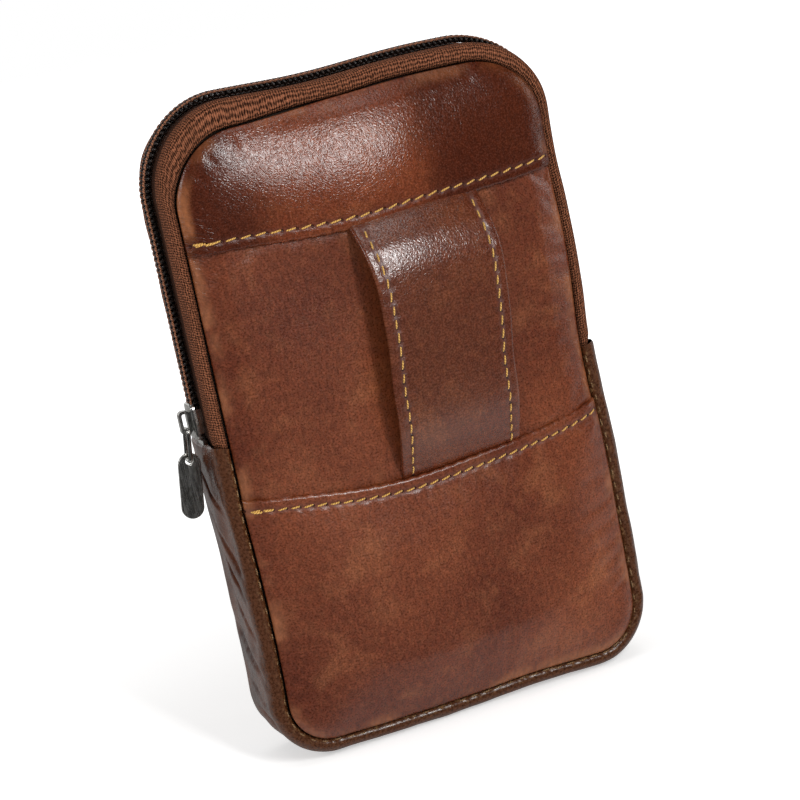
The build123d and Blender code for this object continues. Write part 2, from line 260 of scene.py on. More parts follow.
def rim(way, inset):
    """x, z and the outward normal on the silhouette moved inward. way runs from the base's middle to +X."""
    way, inset = np.broadcast_arrays(np.mod(way, AROUND), np.asarray(inset, float))
    part = np.clip(np.searchsorted(STARTS, way, side="right") - 1, 0, 8)
    t = (way - STARTS[part]) / LENGTHS[part]
    half = HALF - inset
    top = HEIGHT - inset - (GROOVE_TOP - GROOVE) * smooth(1.2, GROOVE, inset)
    rt, rb = TOP_RADIUS - inset, BOTTOM_RADIUS - inset
    x, z, nx, nz = (np.zeros_like(t) for _ in range(4))

    def put(mask, px, pz, ax, az):
        x[mask], z[mask], nx[mask], nz[mask] = px[mask], pz[mask], ax[mask], az[mask]

    one, zero = np.ones_like(t), np.zeros_like(t)
    put(part == 0, t * (half - rb), inset * one, zero, -one)
    put(part == 2, half * one, inset + rb + t * (top - rt - inset - rb), one, zero)
    put(part == 4, (1 - 2 * t) * (half - rt), top * one, zero, one)
    put(part == 6, -half * one, top - rt - t * (top - rt - inset - rb), -one, zero)
    put(part == 8, -(1 - t) * (half - rb), inset * one, zero, -one)
    for index, cx, cz, radius in (
        (1, half - rb, inset + rb, rb),
        (3, half - rt, top - rt, rt),
        (5, rt - half, top - rt, rt),
        (7, rb - half, inset + rb, rb),
    ):
        a = math.pi / 2 * ((index - 3) / 2 + t)
        put(part == index, cx + radius * np.cos(a), cz + radius * np.sin(a), np.cos(a), np.sin(a))
    return x, z, nx, nz


def swept(ways, profile):
    """Points of a profile of (inset, y) pairs, or one for each way, carried along the silhouette."""
    profile = np.asarray(profile, float)
    if profile.ndim == 2:
        profile = np.broadcast_to(profile, (len(ways),) + profile.shape)
    x, z, _, _ = rim(np.asarray(ways)[:, None], profile[..., 0])
    return np.stack([x, profile[..., 1], z], -1)


def spline(points, count):
    """A smooth curve through points, evenly spaced."""
    points = np.asarray(points, float)
    way = travelled(points)
    slope = np.gradient(points, way, axis=0)
    t = np.linspace(0, way[-1], count * 4)
    k = np.clip(np.searchsorted(way, t, side="right") - 1, 0, len(way) - 2)
    h = (way[k + 1] - way[k])[:, None]
    u = ((t - way[k]) / h[:, 0])[:, None]
    fine = cubic(u, h, points[k], points[k + 1], slope[k], slope[k + 1])
    length = travelled(fine)
    even = np.linspace(0, length[-1], count)
    return np.stack([np.interp(even, length, fine[:, i]) for i in range(fine.shape[1])], -1)


# ---------------------------------------------------------------- materials


class Paint:
    """Builds a node material with short calls."""

    def __init__(self, name):
        self.material = bpy.data.materials.new(name)
        self.material.use_nodes = True
        self.tree = self.material.node_tree
        self.tree.nodes.clear()
        self.out = self.tree.nodes.new("ShaderNodeOutputMaterial")
        self.shader = self.tree.nodes.new("ShaderNodeBsdfPrincipled")
        self.tree.links.new(self.shader.outputs[0], self.out.inputs[0])

    def plug(self, socket, value):
        if isinstance(value, bpy.types.NodeSocket):
            self.tree.links.new(value, socket)
        elif isinstance(value, (tuple, list)) and len(value) == 3 and socket.type == "RGBA":
            socket.default_value = (*value, 1.0)
        else:
            socket.default_value = value

    def set(self, **values):
        for key, value in values.items():
            self.plug(self.shader.inputs[key.replace("_", " ")], value)

    def node(self, kind, values, output=0, **settings):
        """A node's output. values maps its inputs, by name or number, to plain values or other outputs."""
        node = self.tree.nodes.new("ShaderNode" + kind)
        for key, value in settings.items():
            setattr(node, key, value)
        for key, value in values.items():
            self.plug(node.inputs[key], value)
        return node.outputs[output]

    def uv(self, layer="flat"):
        return self.node("UVMap", {}, uv_map=layer)

    def value(self, name):
        return self.node("Attribute", {}, "Fac", attribute_name=name)

    def math(self, kind, a, b=0.0, c=0.0):
        return self.node("Math", {0: a, 1: b, 2: c}, operation=kind)

    def add(self, a, b):
        return self.math("ADD", a, b)

    def times(self, a, b):
        return self.math("MULTIPLY", a, b)

    def parts(self, vector):
        node = self.tree.nodes.new("ShaderNodeSeparateXYZ")
        self.plug(node.inputs[0], vector)
        return tuple(node.outputs)

    def split(self, vector):
        return self.parts(vector)[:2]

    def join(self, x, y):
        return self.node("CombineXYZ", {0: x, 1: y})

    def scaled(self, vector, size):
        return self.node("VectorMath", {0: vector, 1: size}, operation="MULTIPLY")

    def sum(self, a, b):
        return self.node("VectorMath", {0: a, 1: b})

    def noise(self, vector, scale, detail=3.0, rough=0.55, distortion=0.0, output="Fac"):
        names = ("Vector", "Scale", "Detail", "Roughness", "Distortion")
        return self.node("TexNoise", dict(zip(names, (vector, scale, detail, rough, distortion))), output)

    def bends(self, vector, scale, detail, size):
        """A place moved by noise, by up to about half of size."""
        noise = self.noise(vector, scale, detail, 0.5, 0.0, "Color")
        return self.sum(vector, self.scaled(noise, (size, size, 0)))

    def cells(self, vector, scale, feature, smoothness=None):
        values = {"Vector": vector, "Scale": scale}
        if smoothness is not None:
            values["Smoothness"] = smoothness
        return self.node("TexVoronoi", values, "Distance", feature=feature)

    def span(self, value, low, high, to_low=0.0, to_high=1.0, kind="SMOOTHSTEP"):
        values = dict(enumerate((value, low, high, to_low, to_high)))
        return self.node("MapRange", values, interpolation_type=kind)

    def mix(self, share, a, b, kind="MIX"):
        return self.node("Mix", {0: share, 6: a, 7: b}, 2, data_type="RGBA", blend_type=kind)

    def bump(self, height, distance, below=None):
        values = {"Strength": 1.0, "Distance": distance * MM, "Height": height}
        if below is not None:
            values["Normal"] = below
        return self.node("Bump", values)


def leather(name, deep, body, worn, roughness=0.23, grain=1.0, crease=1.0, wear=1.0, seams=True,
            yoke_tones=0.0, shine=0.75):
    """Waxed leather: a deep colour with paler patches and edges, fine pebble grain and creases.

    It reads the UV layer "flat" in millimetres, the float "rim", millimetres from the panel's edge, and, with
    seams, the UV layer "seam": stitches along and millimetres across the nearest stitch line. For the yoke, a
    further setting makes the leather darker towards its ends and wears its edge on the +X side.
    """
    p = Paint(name)
    flat = p.uv()
    u, v = p.split(flat)
    rim_mm = p.value("rim")
    cloud = p.noise(flat, 0.016, 2.0, 0.5)
    patch = p.noise(flat, 0.06, 3.0, 0.6, 0.4)
    mottle = p.noise(flat, 0.45, 4.0, 0.7)
    speck = p.noise(flat, 1.9, 2.0, 0.6)

    tone = p.mix(p.span(cloud, 0.30, 0.66), deep, body)
    tone = p.mix(p.times(p.span(patch, 0.48, 0.72), 0.36 * wear), tone, worn)
    tone = p.mix(p.times(p.span(mottle, 0.42, 0.70), 0.12), tone, worn)
    # Painted shade: darker within about 9 mm of the edge, where the panel rolls over into the groove.
    tone = p.mix(p.times(p.span(rim_mm, 9.0, 1.5), 0.45), tone, deep)
    # Darker towards the yoke's two ends, away from its middle, in uneven patches.
    if yoke_tones:
        sideways = p.math("ABSOLUTE", p.add(u, -9.0))
        dark = p.add(p.span(sideways, 10.0, 36.0), p.times(p.add(patch, -0.5), 1.2))
        tone = p.mix(p.times(p.span(dark, 0.1, 0.9), yoke_tones), tone, tuple(0.56 * c for c in deep))
    tone = p.mix(1.0, tone, p.span(speck, 0.36, 0.64, 0.72, 1.34, "LINEAR"), "MULTIPLY")
    near_edge = p.span(rim_mm, 4.0, 0.8)
    worn_share = p.times(p.times(near_edge, p.span(patch, 0.42, 0.60)), 0.6 * wear)
    if yoke_tones:
        strip = p.times(p.span(rim_mm, 3.4, 1.4), p.times(p.span(u, 30.0, 38.0), p.span(v, 140.0, 146.0)))
        worn_share = p.math("MAXIMUM", worn_share, p.times(strip, p.span(v, 162.0, 153.0, 0.0, 0.8)))
    tone = p.mix(worn_share, tone, worn)
    # Painted shadow: the leather goes nearly black where it dives into the groove.
    tone = p.mix(p.span(rim_mm, 0.3, -0.6), tone, (0.004, 0.002, 0.0015))

    # Pebble grain, stretched here and there, under longer wrinkles
    grain_place = p.bends(flat, 0.28, 2.0, 1.8)
    pebble = p.span(p.cells(grain_place, 1.3, "DISTANCE_TO_EDGE"), 0.0, 0.35)
    fine = p.noise(flat, 2.0, 3.0, 0.7)
    soft = p.bump(p.add(p.times(pebble, 0.8), p.times(fine, 0.5)), 0.036 * grain)
    ridge = p.noise(p.scaled(grain_place, (1.0, 0.42, 1.0)), 1.0, 2.0, 0.5)
    tone = p.mix(1.0, tone, p.span(ridge, 0.36, 0.64, 0.84, 1.16, "LINEAR"), "MULTIPLY")
    soft = p.bump(p.times(ridge, p.span(patch, 0.30, 0.60, 0.3, 1.0)), 0.040 * crease, soft)
    # Short creases leave the edge square to it
    slanted = p.join(p.times(p.add(u, p.times(v, -0.6)), 0.16), p.times(p.add(v, p.times(u, -0.45)), 0.75))
    pleat = p.noise(slanted, 1.0, 2.0, 0.5, 0.3)
    pleat = p.times(p.span(pleat, 0.44, 0.60), p.times(p.span(rim_mm, 10.0, 2.0), p.value("pleats")))
    soft = p.bump(pleat, 0.20 * crease, soft)
    gloss = p.add(p.span(speck, 0.3, 0.7, roughness - 0.04, roughness + 0.06), p.times(worn_share, 0.10))
    if seams:
        along, across = p.split(p.uv("seam"))  # along counts stitches
        phase = p.add(p.math("FRACT", along), -0.5)
        gap = p.times(p.math("ABSOLUTE", phase), LOOP_PITCH)
        away = p.math("SQRT", p.add(p.times(gap, gap), p.times(p.times(across, across), 0.8)))
        hole = p.span(away, 0.46, 0.20)
        tone = p.mix(hole, tone, (0.003, 0.002, 0.001))
        line = p.span(p.math("ABSOLUTE", across), 1.4, 0.1)
        gloss = p.add(gloss, p.times(line, 0.16))
        tone = p.mix(p.times(line, 0.45), tone, deep)
        soft = p.bump(p.times(hole, -1.0), 0.22, soft)
    p.set(Base_Color=tone, Roughness=gloss, Normal=soft, Specular_IOR_Level=shine)
    return p.material


def gusset_leather(name):
    """Dark, glossy, wrinkled leather, browner and scuffed where it turns over into the welts."""
    p = Paint(name)
    flat = p.uv()
    rim_mm = p.value("rim")
    turn = p.value("turn")
    cloud = p.noise(flat, 0.06, 3.0, 0.6)
    fine = p.noise(flat, 1.3, 4.0, 0.65)
    tone = p.mix(p.span(cloud, 0.35, 0.65), (0.042, 0.0118, 0.0050), (0.100, 0.0300, 0.0120))
    tone = p.mix(turn, tone, p.mix(p.span(fine, 0.3, 0.7), (0.040, 0.0120, 0.0042), (0.115, 0.0370, 0.0120)))
    scuff_noise = p.noise(flat, 0.75, 5.0, 0.75, 0.8)
    scuffs = p.times(p.span(scuff_noise, 0.51, 0.63), p.times(turn, p.span(rim_mm, 4.2, 0.8)))
    tone = p.mix(p.times(scuffs, 0.75), tone, (0.36, 0.20, 0.085))
    # Painted shadow: the strip goes nearly black along its edges, where it meets the grooves.
    tone = p.mix(p.span(rim_mm, 0.8, -0.2), tone, (0.003, 0.002, 0.0015))
    pebble = p.cells(flat, 0.9, "SMOOTH_F1", 0.5)
    soft = p.bump(p.add(p.times(pebble, 0.5), p.times(fine, 0.6)), 0.07)
    u, v = p.split(flat)
    crease = p.noise(p.join(p.times(p.add(u, p.times(v, 0.5)), 0.16), p.times(v, 0.09)), 1.0, 2.0, 0.5, 0.3)
    crease = p.math("ABSOLUTE", p.add(crease, -0.5))
    soft = p.bump(p.math("SMOOTH_MAX", crease, 0.03, 0.04), 1.1, soft)
    p.set(Base_Color=tone, Roughness=p.span(fine, 0.3, 0.8, 0.24, 0.36), Normal=soft, Specular_IOR_Level=0.55)
    p.set(Coat_Weight=0.08, Coat_Roughness=0.20, Coat_Normal=soft)
    return p.material


KNIT_PITCH = 0.66
WEAVE_PITCH = 0.5


def knit(name):
    """Zip tape: a close knit on the roll, plainer and darker where the tape runs flat to the chain."""
    p = Paint(name)
    along, across = (p.math("DIVIDE", way, KNIT_PITCH) for way in p.split(p.bends(p.uv(), 0.9, 3.0, 1.0)))
    one = p.math("SINE", p.times(p.add(along, across), math.pi))
    other = p.math("SINE", p.times(p.add(along, p.times(across, -1.0)), math.pi))
    loops = p.add(p.times(p.times(one, other), 0.55), 0.45)
    fuzz = p.noise(p.uv(), 1.7, 3.0, 0.75)
    slow = p.noise(p.uv(), 0.12, 2.0, 0.5)
    flatness = p.value("flatness")
    yarn = p.times(p.add(loops, p.times(p.add(fuzz, -0.5), 1.3)), p.span(flatness, 0, 1, 1.0, 0.25))
    # Painted highlights on the yarn's tops and painted shade in the gaps between the loops.
    tone = p.mix(p.span(yarn, 0.05, 0.95), (0.024, 0.0080, 0.0038), (0.38, 0.138, 0.070))
    tone = p.mix(p.times(p.span(slow, 0.35, 0.7), 0.25), tone, (0.12, 0.045, 0.022))
    tone = p.mix(p.times(flatness, 0.9), tone, (0.050, 0.022, 0.014))
    # Painted shadow: the tape goes nearly black where it dives into the groove.
    tone = p.mix(p.span(p.value("rim"), 0.4, -0.4), tone, (0.004, 0.002, 0.0015))
    p.set(Base_Color=tone, Roughness=0.75, Normal=p.bump(yarn, 0.40), Specular_IOR_Level=0.06)
    return p.material


def nylon(name):
    """Dark monofilament of the coils."""
    p = Paint(name)
    slow = p.noise(p.uv(), 0.8, 2.0, 0.5)
    tone = p.mix(p.span(slow, 0.35, 0.7), (0.006, 0.0045, 0.004), (0.024, 0.012, 0.008))
    p.set(Base_Color=tone, Roughness=p.span(slow, 0.3, 0.7, 0.26, 0.38), Specular_IOR_Level=0.5)
    p.set(Normal=p.bump(p.noise(p.uv(), 5.0, 2.0), 0.02))
    return p.material


def thread(name, dark, light, twist=1.5):
    """Twisted sewing thread."""
    p = Paint(name)
    u, v = p.split(p.uv())
    ply = p.math("SINE", p.add(p.times(u, 2 * math.pi * twist), p.times(v, 2.0)))
    fuzz = p.noise(p.uv(), 4.0, 2.0, 0.6)
    height = p.add(p.times(ply, 0.5), p.times(fuzz, 0.5))
    # Painted highlights on the twist's crests and painted shade in its grooves.
    p.set(Base_Color=p.mix(p.span(height, -0.3, 0.7), dark, light), Roughness=0.55)
    p.set(Normal=p.bump(height, 0.08), Specular_IOR_Level=0.4, Sheen_Weight=0.2)
    return p.material


def cloth(name, dark, light):
    """Plain-woven lining."""
    p = Paint(name)
    u, v = p.split(p.uv())
    warp = p.math("SINE", p.times(u, 2 * math.pi / WEAVE_PITCH))
    weft = p.math("SINE", p.times(v, 2 * math.pi / WEAVE_PITCH))
    weave = p.add(p.times(p.times(warp, weft), 0.5), 0.5)
    slow = p.noise(p.uv(), 0.15, 3.0, 0.6)
    tone = p.mix(p.times(p.add(weave, slow), 0.5), dark, light)
    soft = p.bump(p.add(weave, p.times(slow, 2.0)), 0.12)
    p.set(Base_Color=tone, Roughness=0.85, Normal=soft, Sheen_Weight=0.3)
    return p.material


def nickel(name):
    """Plated metal with fine scratches and a little tarnish."""
    p = Paint(name)
    place = p.scaled(p.node("TexCoord", {}, "Object"), (1 / MM, 1 / MM, 1 / MM))
    scratch = p.noise(p.scaled(place, (4.0, 4.0, 0.25)), 1.0, 4.0, 0.7)
    stain = p.noise(place, 0.5, 3.0, 0.6)
    tone = p.mix(p.span(stain, 0.4, 0.75), (0.74, 0.73, 0.70), (0.42, 0.40, 0.36))
    p.set(Base_Color=tone, Metallic=1.0, Roughness=p.span(scratch, 0.3, 0.75, 0.2, 0.38))
    p.set(Normal=p.bump(scratch, 0.03))
    return p.material


DEEP = (0.098, 0.0170, 0.0050)
BODY = (0.190, 0.044, 0.0135)
WORN = (0.31, 0.105, 0.036)
panel_leather = leather("panel_leather", DEEP, BODY, WORN, 0.30, 0.6, 0.6)
yoke_leather = leather("yoke_paint", DEEP, BODY, WORN, 0.245, 1.0, 1.0, 0.6, yoke_tones=0.9, shine=0.48)
loop_leather = leather("loop_leather", DEEP, (0.104, 0.0245, 0.0085), WORN, 0.26, 1.0, 1.0, 0.4, shine=0.95)
backing_leather = leather(
    "backing_leather", (0.05, 0.016, 0.008), (0.10, 0.032, 0.016), WORN, 0.4, 0.8, 0.5, 0.4, seams=False
)
front_leather = leather("front_leather", DEEP, BODY, WORN, seams=False)
dark_leather = gusset_leather("dark_leather")
tape_knit = knit("tape_knit")
coil_nylon = nylon("coil_nylon")
gold_thread = thread("gold_thread", (0.36, 0.165, 0.026), (0.86, 0.50, 0.11))
coil_thread = thread("coil_thread", (0.07, 0.024, 0.010), (0.44, 0.155, 0.060))
gusset_thread = thread("gusset_thread", (0.10, 0.050, 0.020), (0.36, 0.20, 0.075))
lining_cloth = cloth("lining_cloth", (0.030, 0.018, 0.012), (0.085, 0.055, 0.038))
metal = nickel("nickel")


# ---------------------------------------------------------------- shape of the padded faces


def edge_distance(x, z, inset, top_inset):
    """How far (x, z) lies inside the silhouette moved inward."""
    half = HALF - inset
    low, high = inset, HEIGHT - top_inset
    middle = (low + high) / 2
    radius = np.where(z > middle, TOP_RADIUS - inset, BOTTOM_RADIUS - inset)
    qx = np.abs(x) - (half - radius)
    qz = np.where(z > middle, z - (high - radius), (low + radius) - z)
    outside = np.hypot(np.maximum(qx, 0), np.maximum(qz, 0))
    return radius - outside - np.minimum(np.maximum(qx, qz), 0)


def crown(d, base, roll_height, roll_width, dome, dome_width=38.0):
    """Height of a padded face at distance d from its edge: it rolls up quickly, then domes slowly."""
    d = np.maximum(d, 0)
    lead = 0.10
    t = np.clip((d / roll_width + lead) / (1 + lead), 0, 1)
    rise = np.sqrt(1 - (1 - t) ** 2)
    slow = 1 - (1 - np.clip(d / dome_width, 0, 1)) ** 2
    return base + roll_height * rise + dome * slow


def fold_line(x, level, sag):
    return level - sag * (1 - np.clip(np.abs(x) / FULL_HALF, 0, 1) ** 2)


def caught(x, z, level, sag, width):
    """The rise of a hem over the end of the belt loop."""
    near = np.exp(-((np.asarray(z) - fold_line(x, level, sag)) ** 2) / 60)
    return 0.5 * near * smooth(width / 2 + 4, width / 2 - 3, np.abs(x - LOOP_X))


def lapped_height(x, z):
    """Outer surface of the yoke and the lower panel."""
    y = crown(edge_distance(x, z, GROOVE, GROOVE_TOP), 10.9, 3.0, 5.6, 1.1)
    y = y + caught(x, z, YOKE_FOLD, YOKE_SAG, LOOP_WIDTH_TOP)
    return y + caught(x, z, LOWER_FOLD, LOWER_SAG, LOOP_WIDTH_BOTTOM)


def middle_height(x, z):
    """Outer surface of the middle panel, recessed under its neighbours."""
    return crown(edge_distance(x, z, MIDDLE_GROOVE, GROOVE_TOP), 10.2, 2.4, 5.0, 0.1)


def front_height(x, z):
    return crown(edge_distance(x, z, GROOVE, GROOVE_TOP), 10.9, 3.0, 5.6, 0.8)


def crowded(count, share=0.45, low=True, high=True):
    """Shares from 0 to 1 that crowd towards the chosen ends."""
    t = np.linspace(0, 1, count)
    if low and high:
        bent = 0.5 - 0.5 * np.cos(math.pi * t)
    elif low:
        bent = 1 - np.cos(math.pi / 2 * t)
    elif high:
        bent = np.sin(math.pi / 2 * t)
    else:
        bent = t
    return (1 - share) * t + share * bent


def along_points(points, shares):
    way = travelled(points)
    return np.stack([np.interp(shares * way[-1], way, points[:, i]) for i in range(2)], -1)


def corner(cx, cz, radius, start, end):
    a = np.radians(np.linspace(start, end, 40))
    return np.stack([cx + radius * np.cos(a), cz + radius * np.sin(a)], -1)


def face_patch(low, high, inset, top_inset, columns, rows, bottom_fold=None, top_fold=None):
    """(x, z) of a grid over a face. low and high are a fold's height, or None at an end with rounded corners.

    bottom_fold and top_fold give the fold line's height at x.
    """
    half = HALF - inset
    rt, rb = TOP_RADIUS - inset, BOTTOM_RADIUS - inset
    z_top, z_low = HEIGHT - top_inset, inset
    side = []
    side.append(corner(half - rb, z_low + rb, rb, -45, 0) if low is None else np.array([[half, low]]))
    side.append(corner(half - rt, z_top - rt, rt, 0, 45) if high is None else np.array([[half, high]]))
    side = np.concatenate(side)
    if low is None:
        base = np.concatenate(
            [corner(-half + rb, z_low + rb, rb, 225, 270), corner(half - rb, z_low + rb, rb, 270, 315)]
        )
    else:
        base = np.array([[-half, low], [half, low]])
    if high is None:
        top = np.concatenate(
            [corner(-half + rt, z_top - rt, rt, 135, 90), corner(half - rt, z_top - rt, rt, 90, 45)]
        )
    else:
        top = np.array([[-half, high], [half, high]])
    u, v = columns, rows
    base_points = along_points(base, u)[None]
    top_points = along_points(top, u)[None]
    right = along_points(side, v)[:, None]
    left = right * np.array([-1.0, 1.0])
    uu, vv = u[None, :, None], v[:, None, None]
    blend = (1 - vv) * base_points + vv * top_points + (1 - uu) * left + uu * right
    corners = (
        (1 - uu) * (1 - vv) * base_points[:, :1]
        + uu * (1 - vv) * base_points[:, -1:]
        + (1 - uu) * vv * top_points[:, :1]
        + uu * vv * top_points[:, -1:]
    )
    grid = blend - corners
    x, z = grid[..., 0], grid[..., 1]
    if bottom_fold is not None:
        z = z + (bottom_fold(x) - low) * (1 - vv[..., 0]) ** 1.5
    if top_fold is not None:
        z = z + (top_fold(x) - high) * vv[..., 0] ** 1.5
    return x, z


CLOTH_SCALE = 10.0  # cloth settings suit things the size of a coat
CLOTH_STEPS = 22


def refined(values, coarse, count):
    """A cubic through values at whole-number places coarse, read at 0 .. count - 1, along the first axis."""
    slope = np.gradient(values, coarse.astype(float), axis=0)
    place = np.arange(count)
    k = np.clip(np.searchsorted(coarse, place, side="right") - 1, 0, len(coarse) - 2)
    h = (coarse[k + 1] - coarse[k])[:, None, None].astype(float)
    u = ((place - coarse[k]) / h[:, 0, 0])[:, None, None]
    return cubic(u, h, values[k], values[k + 1], slope[k], slope[k + 1])


def inflated(points, held, growth, pressure, cap, step=3, bending=4.0):
    """The padding's push, by cloth simulation: how far each point of a grid moves.

    The leather is held where held is 1, is cut growth too large, and moves by at most cap millimetres.
    """
    rows = np.unique(np.append(np.arange(0, points.shape[0], step), points.shape[0] - 1))
    cols = np.unique(np.append(np.arange(0, points.shape[1], step), points.shape[1] - 1))
    coarse = points[np.ix_(rows, cols)]
    mesh = bpy.data.meshes.new("cloth")
    faces = grid_faces(len(rows), len(cols), flip=True)
    mesh.from_pydata((coarse.reshape(-1, 3) * MM * CLOTH_SCALE).tolist(), [], faces.tolist())
    cloth = new_object("cloth", mesh)
    group = cloth.vertex_groups.new(name="held")
    for index, weight in enumerate(held[np.ix_(rows, cols)].ravel()):
        if weight > 0:
            group.add([index], float(weight), "REPLACE")
    modifier = cloth.modifiers.new("Cloth", "CLOTH")
    settings = modifier.settings
    settings.quality = 6
    settings.mass = 0.3
    settings.tension_stiffness = settings.compression_stiffness = 40
    settings.shear_stiffness = 20
    settings.bending_stiffness = bending
    settings.air_damping = 2
    settings.shrink_min = -growth
    settings.vertex_group_mass = "held"
    settings.pin_stiffness = 50
    settings.use_pressure = True
    settings.uniform_pressure_force = pressure
    settings.effector_weights.gravity = 0
    modifier.collision_settings.use_collision = False
    modifier.point_cache.frame_start = 1
    modifier.point_cache.frame_end = CLOTH_STEPS
    for tick in range(1, CLOTH_STEPS + 1):
        bpy.context.scene.frame_set(tick)
    shaped = cloth.evaluated_get(bpy.context.evaluated_depsgraph_get())
    place = np.zeros(len(mesh.vertices) * 3)
    shaped.data.vertices.foreach_get("co", place)
    moved = place.reshape(coarse.shape) / (MM * CLOTH_SCALE) - coarse
    bpy.data.objects.remove(cloth)
    bpy.context.scene.frame_set(1)
    length = np.linalg.norm(moved, axis=-1, keepdims=True)
    moved = moved * np.minimum(1, cap / np.maximum(length, 1e-6))
    moved = refined(moved, rows, points.shape[0])
    return np.swapaxes(refined(np.swapaxes(moved, 0, 1), cols, points.shape[1]), 0, 1)


def padded_face(name, x, z, height, edge, seam, material, puff, hem_rows=0, hem_last=False,
                wall=(True, True)):
    """A padded leather face with its edge turned down into the groove, and a rolled hem at one end.

    height(x, z) and edge(x, z) give the surface and the distance from the outline, and seam(x, z) the stitches
    along and millimetres across from the stitch line. puff is inflated's growth, pressure and cap.
    hem_last puts the hem at the last row instead of the first.
    """
    y = height(x, z)
    along, across = seam(x, z)
    points = np.stack([x, y, z], -1)
    held = np.maximum(smooth(1.5, 0.3, edge(x, z)), smooth(1.6, 0.8, across))
    if not hem_rows:
        held[:4] = held[-4:] = 1.0
    moved = inflated(points, held, *puff)
    points = points + moved
    wavy = smooth(2, 12, edge(x, z)) * smooth(2, 8, np.abs(across))
    points[..., 1] += 0.09 * ripple(71, 17, 0.45 * z, x) * wavy
    between = np.cos(2 * math.pi * along)
    points[..., 1] += 0.08 * between * np.exp(-((across / 1.6) ** 2)) - 0.22 * np.exp(-((across / 0.7) ** 2))
    rim_mm = edge(x, z)
    seam_uv = np.stack([along, across], -1)
    if hem_rows:
        row = -1 if hem_last else 0
        sign = 1 if hem_last else -1
        extra, extra_seam = [], []
        for angle in np.linspace(0, math.pi, hem_rows + 1)[1:]:
            line = points[row].copy()
            scallop = 1 - 0.14 * between[row]
            line[:, 1] -= HEM_RADIUS * (1 - math.cos(angle))
            line[:, 2] += sign * HEM_RADIUS * scallop * math.sin(angle)
            extra.append(line)
            extra_seam.append(seam_uv[row] - [0, HEM_RADIUS * angle])
        line = extra[-1].copy()
        line[:, 2] -= sign * 3.0
        extra.append(line)
        extra_seam.append(extra_seam[-1] - [0, 3])
        order = 1 if hem_last else -1
        points = grown(points, np.array(extra)[::order], not hem_last)
        seam_uv = grown(seam_uv, np.array(extra_seam)[::order], not hem_last)
        rim_mm = grown(rim_mm, np.repeat(rim_mm[[row]], len(extra), 0), not hem_last)
    # The edge goes down into the groove on both sides, and at an end that has corners
    for depth, pull in ((0.7, 0.05), (1.6, 0.15)):
        left, right = points[:, :1].copy(), points[:, -1:].copy()
        left[..., 1] -= depth
        right[..., 1] -= depth
        left[..., 0] += pull
        right[..., 0] -= pull
        points = np.concatenate([left, points, right], 1)
        rim_mm = np.concatenate([rim_mm[:, :1] - depth, rim_mm, rim_mm[:, -1:] - depth], 1)
        seam_uv = np.concatenate([seam_uv[:, :1], seam_uv, seam_uv[:, -1:]], 1)
        for end, wanted in zip((0, -1), wall):
            if wanted:
                line = points[[end]].copy()
                line[..., 1] -= depth
                line[..., 2] += pull if end == 0 else -pull
                points = grown(points, line, end == 0)
                rim_mm = grown(rim_mm, rim_mm[[end]] - depth, end == 0)
                seam_uv = grown(seam_uv, seam_uv[[end]], end == 0)
    flat = np.stack([points[..., 0], points[..., 2]], -1)
    sideways = smooth(34, 44, points[..., 0])
    low = smooth(9, 2, points[..., 2] - YOKE_FOLD - 6) * smooth(118, 132, points[..., 2])
    floats = {"rim": rim_mm, "pleats": sideways * low}
    return grid_mesh(name, points, {"flat": flat, "seam": seam_uv}, floats, material, flip=True)


def stitch_row(name, line, normals, material, pitch, first, length=0.80, slant=12.0, radius=THREAD, sink=0.10,
               lift=0.24, jitter=0.05, seed=1):
    """A row of stitches on a dense line of points with outward normals. Each dips into its holes.

    first is the place of the first stitch's middle along the line, and length a share of the pitch.
    """
    line = np.asarray(line, float)
    normals = normalise(np.asarray(normals, float))
    way = travelled(line)

    def at(w, data):
        return np.array([np.interp(w, way, data[:, i]) for i in range(3)])

    local = np.random.default_rng(seed)
    lines = []
    centre = first
    while centre + 0.4 * pitch < way[-1]:
        tilt = math.radians(slant + local.uniform(-3, 3))
        reach = pitch * length / 2 * local.uniform(0.93, 1.05)
        off = local.uniform(-jitter, jitter)
        path = []
        for t in np.linspace(-1, 1, 9):
            w = centre + t * reach
            p, n = at(w, line), at(w, normals)
            tangent = normalise(at(w + 0.2, line) - at(w - 0.2, line))
            side = np.cross(n, tangent)
            rise = lift * (1 - abs(t) ** 3.0) - (sink + 0.35) * abs(t) ** 6
            path.append(p + n * rise + side * (off + math.tan(tilt) * t * reach))
        lines.append(path)
        centre += pitch
    piece = tubes(name, lines, lambda s: radius * (0.70 + 0.30 * math.sin(math.pi * s)), material, sides=7)
    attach(piece, "pouch_body")
    return piece


def surface_line(height, xs, zs, step=0.4):
    """Points and normals of a back surface along a line of (x, z)."""
    y = height(xs, zs)
    dx = (height(xs + step, zs) - height(xs - step, zs)) / (2 * step)
    dz = (height(xs, zs + step) - height(xs, zs - step)) / (2 * step)
    points = np.stack([xs, y, zs], -1)
    return points, normalise(np.stack([-dx, np.ones_like(dx), -dz], -1))


# Stretches where the front and its tape bend as the front tips open; tie reads only whether one is given.
FLAP_BEND = (0, -0.014, 0.094), (0, -0.014, 0.114)
TAPE_BEND = (0, -0.012, 0.095), (0, -0.012, 0.115)


def tie(piece, nodes, bend=None):
    """Ties a piece to the pouch's body, in place of CAD nodes, which it hides. Given a bend, it only bakes the
    piece's place into its mesh and leaves it untied.
    """
    if bend:
        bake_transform(piece)
    else:
        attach(piece, "pouch_body")
    if nodes:
        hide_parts(*nodes)


# ---------------------------------------------------------------- back panels


def yoke_seam(x, z):
    return (x + HALF) / YOKE_PITCH, z - (fold_line(x, YOKE_FOLD, YOKE_SAG) + STITCH_INSET)


def lower_seam(x, z):
    return (x + HALF) / LOWER_PITCH, (fold_line(x, LOWER_FOLD, LOWER_SAG) - STITCH_INSET) - z


